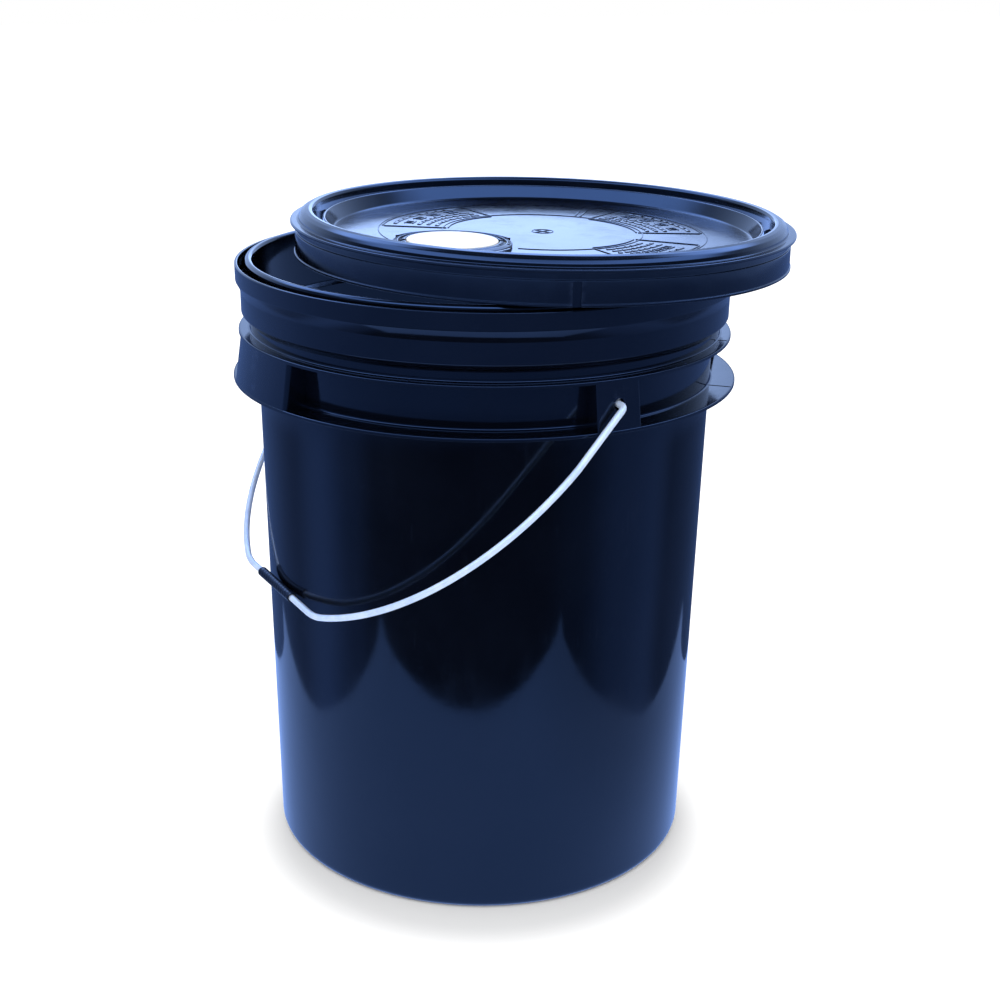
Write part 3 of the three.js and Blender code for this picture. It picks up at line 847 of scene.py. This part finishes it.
def add_spout_fold():
    """The soft moulding, folded down inside the lid."""
    fold = [
        # neck, with two beads outside it in place of a thread
        (21.3, -24), (21.3, -12.1, 0.4), (23, -12.1, 0.4),
        (23, -15), (23.3, -15.6), (23, -16.2),
        (23, -18.4), (23.3, -19), (23, -19.6),
        # fold at the bottom, then up to the flange on the deck
        (23, -24), (23.6, -26.6), (25.3, -27.8), (27, -26.6), (27.4, -24), (27.4, FLANGE_TOP, 0.4),
        (32, FLANGE_TOP, 0.3), (32, SEAT, 0.3), (28.6, SEAT, 0.5),
        (28.6, -24), (27.8, -27.6), (25.3, -29), (22.4, -27.6),
    ]
    neck = lathe("spout_fold", rounded(fold, 0.5), SPOUT_TURNS)
    finish_piece(neck, "lid", ["spout_body"], SOFT_PLASTIC, 38, SPOUT_PLACE)


def add_retainer():
    """The ring that clamps the flange, with slots near the ends of the pull rings."""
    lip = FLANGE_TOP + 0.3
    shoulder = RING_TOP - 0.8
    ring = [
        (30.6, lip, 0.3), (32.4, lip, 0.2), (32.4, SEAT, 0.2),
        (34, SEAT, 0.3), (34, shoulder, 0.5), (30.6, RING_TOP, 0.5),
    ]
    retainer = lathe("spout_ring", rounded(ring, 0.3), SPOUT_TURNS)
    section = box_section(31.4, 33.2, shoulder, RING_TOP + 1)
    slots = []
    for azimuth in (-16, -8, 0, 8, 16, 164, 172, 180, 188, 196):
        slots.append(sweep("slot", section, [azimuth - 2.2, azimuth, azimuth + 2.2]))
    combine(retainer, joined(slots), "DIFFERENCE")
    finish_piece(retainer, "lid", ["spout_retainer"], SPOUT_PLASTIC, 38, SPOUT_PLACE)


def add_cap():
    """The cap, from the axis under its disc round to the axis on top."""
    skirt_foot, groove_inner, groove_floor = -21.6, CAP_SKIRT - 0.3, CAP_TOP - 0.35
    disc = [
        (0, CAP_PLATE), (23.4, CAP_PLATE, 0.5), (23.4, skirt_foot, 0.3), (CAP_SKIRT, skirt_foot, 0.4),
        # two fine grooves round the skirt
        (CAP_SKIRT, -19.4), (groove_inner, -18.9), (CAP_SKIRT, -18.4),
        (CAP_SKIRT, -16.4), (groove_inner, -15.9), (CAP_SKIRT, -15.4),
        (CAP_SKIRT, CAP_PLATE, 0.3), (CAP_RADIUS, CAP_PLATE, 0.4), (CAP_RADIUS, CAP_TOP, 0.6),
        # a fine groove near the edge, and a dimple at the centre
        (23.2, CAP_TOP, 0.3), (22.9, groove_floor, 0.3),
        (22.1, groove_floor, 0.3), (21.8, CAP_TOP, 0.3),
        (8, CAP_TOP - 0.05), (2.0, CAP_TOP - 0.05, 0.2), (1.7, CAP_TOP - 0.3, 0.2), (0, CAP_TOP - 0.3),
    ]
    cap = lathe("cap_disc", rounded(disc, 0.4, False), SPOUT_TURNS)
    finish_piece(cap, "cap", ["spout_cap"], CAP_PLASTIC, 38, SPOUT_PLACE)


def add_pull_rings():
    """The two half rings round the cap."""
    low, high = FLANGE_TOP + 0.3, CAP_TOP - 0.3
    section = [
        (PULL_INNER, low + 0.2), (26.8, low), (29.9, low), (PULL_OUTER, low + 0.2),
        (PULL_OUTER, high - 1.0), (29.8, high - 0.75), (28.6, high - 0.25), (27.6, high),
        (26.9, high - 0.05), (PULL_INNER, high - 0.4),
    ]
    dent = box_section(27.5, 29.2, high - 0.6, high + 1)
    first = math.degrees(math.asin(2.2 / PULL_INNER)) + 0.2
    for name, body, node, turn in (
        ("pull_loop_rear", "pull_rear", "pull_ring_rear", 0),
        ("pull_loop_front", "pull_front", "pull_ring_front", 180),
    ):
        loop = sweep(name, section, evenly(first, 180 - first, 60))
        dents = [sweep("dent", dent, [a - 1.6, a + 1.6]) for a in (10, 17, 24, 156, 163, 170)]
        combine(loop, joined(dents), "DIFFERENCE")
        about_z(loop, turn)
        finish_piece(loop, body, [node], SPOUT_PLASTIC, 45, SPOUT_PLACE)


# ---------------------------------------------------------------- studio

CAMERA_AT = Vector((-0.4655, -0.8432, 0.5509))
CAMERA_RIGHT = Vector((0.8724, -0.4886, 0.0140))
CAMERA_AHEAD = Vector((0.4651, 0.8210, -0.3312))
CAMERA_AZIMUTH = math.degrees(math.atan2(CAMERA_AT.y, CAMERA_AT.x))
LENS = 58.31  # millimetres, on a sensor 36 mm wide

# What the gloss sees is coloured and shaped apart from the light that falls on matt surfaces
SKY = (0.42, 0.59, 1.0, 1)  # the backdrop
CURTAIN_SKY = (0.20, 0.38, 1.0, 1)
DEEP_SKY = (0.27, 0.45, 1.0, 1)  # the rest: room, floor and the cards in the pail and the lid
BACKDROP = 3.4  # low behind the object, less to both sides
BASE_SKY = 0.22  # the room everywhere
STRIP = 6.0  # a bright ring high round the room
FLOOR_GLOW = 1.45
# brightness of the glowing rings in the pail and in the lid's channel, which paint reflections in those
# hollows
INSIDE_GLOW = 0.8
CHANNEL_GLOW = 2.6

ROOM = 1.08  # brightness of the white room that lights the matt surfaces
PAPER = (0.93, 0.93, 0.93, 1)
PAPER_GLOW = 0.4
SHADOW_OFFSET = 0.03  # metres from the pail's axis towards the camera
SHADOW_FADE = (0.118, 0.158)  # metres from that point

# The curtain, in millimetres and in degrees from the camera's azimuth
CURTAIN_RADIUS = 372
CURTAIN_PULL = 65  # how much nearer it hangs at the sides
CURTAIN_Z = (0, 205, 232, 345)  # dark up to the second, pale from the third
# Start, end and how far the lower edge rises at both ends
LOBES = [(-150, -112, 40), (-112, -44, 80), (-44, 34, 90), (34, 116, 80), (116, 150, 40)]
# Azimuth and brightness
DARK_STOPS = [
    (-150, 0.3), (-112, 0.38), (-92, 0.32), (-72, 0.85), (-56, 0.4), (-44, 0.08), (-30, 0.05),
    (24, 0.05), (40, 0.16), (60, 0.5), (76, 0.55), (92, 0.22), (116, 0.22), (150, 0.22),
]
PALE_STOPS = [(-150, 0.4), (-80, 0.72), (-30, 0.55), (30, 0.46), (80, 0.52), (150, 0.35)]


def add_camera():
    data = bpy.data.cameras.new("camera")
    data.lens = LENS
    data.sensor_width = 36.0
    data.clip_start = 0.01
    item = bpy.data.objects.new("camera", data)
    bpy.context.scene.collection.objects.link(item)
    ahead = CAMERA_AHEAD.normalized()
    right = (CAMERA_RIGHT - ahead * CAMERA_RIGHT.dot(ahead)).normalized()
    up = right.cross(ahead)
    place = Matrix((right, up, -ahead)).transposed().to_4x4()
    place.translation = CAMERA_AT
    item.matrix_world = place
    bpy.context.scene.camera = item


def light_path_mix(tree, flag, yes, no):
    """One shader for a kind of ray, and another for the rest."""
    path = tree.nodes.new("ShaderNodeLightPath")
    mix = tree.nodes.new("ShaderNodeMixShader")
    tree.links.new(path.outputs[flag], mix.inputs[0])
    tree.links.new(no, mix.inputs[1])
    tree.links.new(yes, mix.inputs[2])
    return mix.outputs[0]


def glow(tree, kind, color, strength):
    """A shader that only shines; its strength is a number or another node's output."""
    made = tree.nodes.new(kind)
    made.inputs["Color"].default_value = color
    if isinstance(strength, bpy.types.NodeSocket):
        tree.links.new(strength, made.inputs["Strength"])
    else:
        made.inputs["Strength"].default_value = strength
    return made.outputs[0]


def node_ramp(tree, value, low, high, to_low=0.0, to_high=1.0):
    """A smooth step of a node's output, from to_low at low to to_high at high."""
    ramp = tree.nodes.new("ShaderNodeMapRange")
    ramp.interpolation_type = "SMOOTHSTEP"
    tree.links.new(value, ramp.inputs["Value"])
    for key, bound in zip(("From Min", "From Max", "To Min", "To Max"), (low, high, to_low, to_high)):
        ramp.inputs[key].default_value = bound
    return ramp.outputs["Result"]


def node_measure(tree, operation, place, other):
    """How far a place is along a direction, or from a point."""
    measure = tree.nodes.new("ShaderNodeVectorMath")
    measure.operation = operation
    tree.links.new(place, measure.inputs[0])
    measure.inputs[1].default_value = other
    return measure.outputs["Value"]


def add_world():
    """A plain white room. The gloss sees a dim blue one, with a bright ring high round it and a
    backdrop low behind the object."""
    world = bpy.data.worlds.new("studio")
    bpy.context.scene.world = world
    world.use_nodes = True
    world.cycles.sampling_method = "NONE"
    tree = world.node_tree
    tree.nodes.clear()
    direction = tree.nodes.new("ShaderNodeTexCoord").outputs["Generated"]

    def node_math(operation, a, b=0.0):
        made = tree.nodes.new("ShaderNodeMath")
        made.operation = operation
        for socket, value in zip(made.inputs, (a, b)):
            if isinstance(value, bpy.types.NodeSocket):
                tree.links.new(value, socket)
            else:
                socket.default_value = value
        return made.outputs[0]

    def towards(vector, low, high):
        return node_ramp(tree, node_measure(tree, "DOT_PRODUCT", direction, vector), low, high)

    # Each low and high is the cosine of an angle from the direction named
    up, down = (0, 0, 1), (0, 0, -1)
    ahead = Vector((CAMERA_AHEAD.x, CAMERA_AHEAD.y, 0)).normalized()
    behind = node_math("MULTIPLY", towards(ahead, -0.1, 0.8), towards(down, -0.62, -0.45))
    sides = node_math("ADD", towards(CAMERA_RIGHT, 0.05, 0.18), towards(-CAMERA_RIGHT, 0.05, 0.18))
    fall = node_math("SUBTRACT", 1.0, node_math("MULTIPLY", sides, 0.62))
    behind = node_math("MULTIPLY", behind, fall)
    strip = node_math("MULTIPLY", towards(up, 0.44, 0.6), towards(down, -0.88, -0.74))
    backdrop = glow(tree, "ShaderNodeBackground", SKY, node_math("MULTIPLY", behind, BACKDROP))
    dim = node_math("ADD", BASE_SKY, node_math("MULTIPLY", strip, STRIP))
    reflected = tree.nodes.new("ShaderNodeAddShader")
    tree.links.new(backdrop, reflected.inputs[0])
    tree.links.new(glow(tree, "ShaderNodeBackground", DEEP_SKY, dim), reflected.inputs[1])
    reflected = reflected.outputs[0]
    room = glow(tree, "ShaderNodeBackground", (1, 1, 1, 1), ROOM)
    seen = glow(tree, "ShaderNodeBackground", (1, 1, 1, 1), 1.0)
    mixed = light_path_mix(tree, "Is Glossy Ray", reflected, room)
    mixed = light_path_mix(tree, "Is Camera Ray", seen, mixed)
    output = tree.nodes.new("ShaderNodeOutputWorld")
    tree.links.new(mixed, output.inputs["Surface"])


def stage_material(name, shader_of):
    material = bpy.data.materials.new(name)
    material.use_nodes = True
    tree = material.node_tree
    tree.nodes.clear()
    output = tree.nodes.new("ShaderNodeOutputMaterial")
    tree.links.new(shader_of(tree), output.inputs["Surface"])
    return material


def floor_shader(tree):
    """White paper. It glows a little except close round the pail, so that only the contact shadow
    shows; the gloss sees a blue floor, dimmer to the right."""
    place = tree.nodes.new("ShaderNodeTexCoord").outputs["Object"]
    plain = tree.nodes.new("ShaderNodeBsdfDiffuse")
    plain.inputs["Color"].default_value = PAPER
    near = Vector((CAMERA_AT.x, CAMERA_AT.y, 0)).normalized() * SHADOW_OFFSET
    lift = node_ramp(tree, node_measure(tree, "DISTANCE", place, near), *SHADOW_FADE, 0.0, PAPER_GLOW)
    bright = glow(tree, "ShaderNodeEmission", (1, 1, 1, 1), lift)
    paper = tree.nodes.new("ShaderNodeAddShader")
    tree.links.new(plain.outputs[0], paper.inputs[0])
    tree.links.new(bright, paper.inputs[1])
    sideways = node_measure(tree, "DOT_PRODUCT", place, CAMERA_RIGHT)
    dim = node_ramp(tree, sideways, 0.1, 0.3, FLOOR_GLOW, FLOOR_GLOW * 0.72)
    tinted = glow(tree, "ShaderNodeEmission", DEEP_SKY, dim)
    return light_path_mix(tree, "Is Glossy Ray", tinted, paper.outputs[0])


def add_floor():
    reach = 9000
    corners = [(-reach, -reach, 0), (reach, -reach, 0), (reach, reach, 0), (-reach, reach, 0)]
    floor = new_object("floor", corners, [[0, 1, 2, 3]])
    if floor.data.polygons[0].normal.z < 0:
        floor.data.flip_normals()
    floor.data.materials.append(stage_material("floor_paint", floor_shader))


def ramp_at(stops, azimuth):
    """A smooth value between stops of azimuth and value."""
    for (a0, v0), (a1, v1) in zip(stops, stops[1:]):
        if azimuth <= a1:
            t = max(0.0, (azimuth - a0) / (a1 - a0))
            return v0 + (v1 - v0) * t * t * (3 - 2 * t)
    return stops[-1][1]


def curtain_radius(azimuth):
    """The curtain hangs nearer at the sides, where the wall turns away."""
    side = min(1.0, abs(azimuth) / 80)
    return CURTAIN_RADIUS - CURTAIN_PULL * side * side


def curtain_shader(tree):
    level = tree.nodes.new("ShaderNodeAttribute")
    level.attribute_name = "level"
    return glow(tree, "ShaderNodeEmission", CURTAIN_SKY, level.outputs["Fac"])


def add_curtain(name, lobes, lower, upper, low, high):
    """A round card near the object that only gloss sees. Its brightness changes slowly with
    azimuth, and its lower edge hangs in lobes."""
    azimuths = evenly(lobes[0][0], lobes[-1][1], 240)
    verts, levels, faces = [], [], []
    for i, azimuth in enumerate(azimuths):
        a = radians(CAMERA_AZIMUTH + azimuth)
        start, end, drop = next(lobe for lobe in lobes if azimuth <= lobe[1] + 1e-6)
        share = min(1.0, max(0.0, (azimuth - start) / (end - start)))
        bottom = low + drop * (1 - math.sin(math.pi * share) ** 0.5)
        r = curtain_radius(azimuth)
        verts += [(r * math.cos(a), r * math.sin(a), z) for z in (bottom, high)]
        levels += [ramp_at(lower, azimuth), ramp_at(upper, azimuth)]
        if i:
            faces.append([2 * i - 2, 2 * i, 2 * i + 1, 2 * i - 1])
    mesh = bpy.data.meshes.new(name)
    mesh.from_pydata([(x * MM, y * MM, z * MM) for x, y, z in verts], [], faces)
    mesh.attributes.new("level", "FLOAT", "POINT").data.foreach_set("value", levels)
    curtain = bpy.data.objects.new(name, mesh)
    bpy.context.scene.collection.objects.link(curtain)
    mesh.materials.append(stage_material(name, curtain_shader))
    hide_from_all_but_gloss(curtain)


def add_ring_card(name, section, turns, strength, place=None):
    """A glowing ring that only gloss sees, put in a deep hollow where nothing stands: its painted
    reflection keeps the hollow from going black.
    """
    card = lathe(name, section, turns)
    if place:
        card.data.transform(place)
    paint = stage_material(name, lambda tree: glow(tree, "ShaderNodeEmission", DEEP_SKY, strength))
    card.data.materials.append(paint)
    hide_from_all_but_gloss(card)


def hide_from_all_but_gloss(card):
    card.visible_camera = False
    card.visible_diffuse = False
    card.visible_transmission = False
    card.visible_shadow = False


def add_light(name, at, size, power):
    """A round lamp aimed at the middle of the pail, which the gloss doesn't see."""
    data = bpy.data.lights.new(name, "AREA")
    data.shape = "DISK"
    data.size = size
    data.energy = power
    item = bpy.data.objects.new(name, data)
    bpy.context.scene.collection.objects.link(item)
    item.location = at
    item.rotation_euler = (Vector((0, 0, 0.2)) - Vector(at)).to_track_quat("-Z", "Y").to_euler()
    item.visible_glossy = False


def build_studio():
    add_camera()
    add_world()
    add_floor()
    floor_z, dark_top, pale_foot, top = CURTAIN_Z
    whole = [(LOBES[0][0], LOBES[-1][1], 0)]
    add_curtain("curtain", LOBES, DARK_STOPS, DARK_STOPS, floor_z, dark_top)
    add_curtain("curtain_middle", whole, DARK_STOPS, PALE_STOPS, dark_top, pale_foot)
    add_curtain("curtain_top", whole, PALE_STOPS, PALE_STOPS, pale_foot, top)
    # glowing rings inside the pail and in the lid's channel: painted reflections that lighten these hollows
    add_ring_card("inside_card", box_section(127, 127.5, 20, 345), 64, INSIDE_GLOW)
    add_ring_card("channel_card", box_section(132.4, 132.8, -15, -5.4), 96, CHANNEL_GLOW, LID)
    add_light("softbox", (-0.9, -1.1, 1.9), 1.4, 9)
    view = bpy.context.scene.view_settings
    view.view_transform = "Standard"
    view.look = "None"


build_pail()
build_bail()
build_lid()
build_spout()
build_studio()
